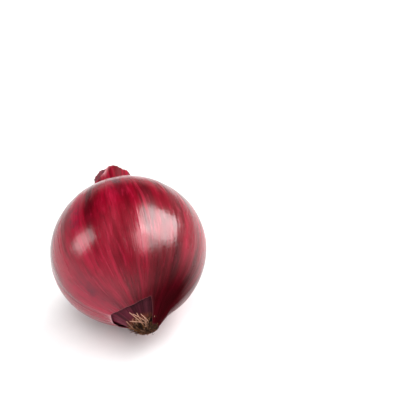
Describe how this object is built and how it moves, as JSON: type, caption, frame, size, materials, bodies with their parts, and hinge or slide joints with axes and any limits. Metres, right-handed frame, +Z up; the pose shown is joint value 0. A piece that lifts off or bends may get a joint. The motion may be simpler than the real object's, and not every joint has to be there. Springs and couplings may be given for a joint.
{
  "type": "red onion",
  "caption": "Whole red onion as picked: a round bulb in a torn papery skin, with a dry open neck and a root plate with dry roots, lying on its side.",
  "frame": {"origin": "on the table, at the centre of the small flat spot that the onion rests on, under the middle of the bulb", "axes": "+Z up; +Y towards the neck, with the onion's own axis rising 22 degrees over the table from the roots at -Y to the neck; +X across"},
  "size_m": [0.0768, 0.0893, 0.0747],
  "materials": {
    "outer_skin": "satin",
    "inner_skin": "satin",
    "dry_leaf": "matte",
    "root_plate": "matte",
    "root": "matte"
  },
  "bodies": {
    "root": {"bulb": "inner_skin", "outer_skin": "outer_skin", "neck_leaf_outer": "dry_leaf", "neck_leaf_middle": "dry_leaf", "neck_leaf_inner": "dry_leaf", "neck_tip": "dry_leaf", "root_plate": "root_plate", "root_01": "root", "root_02": "root", "root_03": "root", "root_04": "root", "root_05": "root", "root_06": "root", "root_07": "root", "root_08": "root", "root_09": "root", "root_10": "root", "root_11": "root", "root_12": "root", "root_13": "root"}
  },
  "joints": []
}
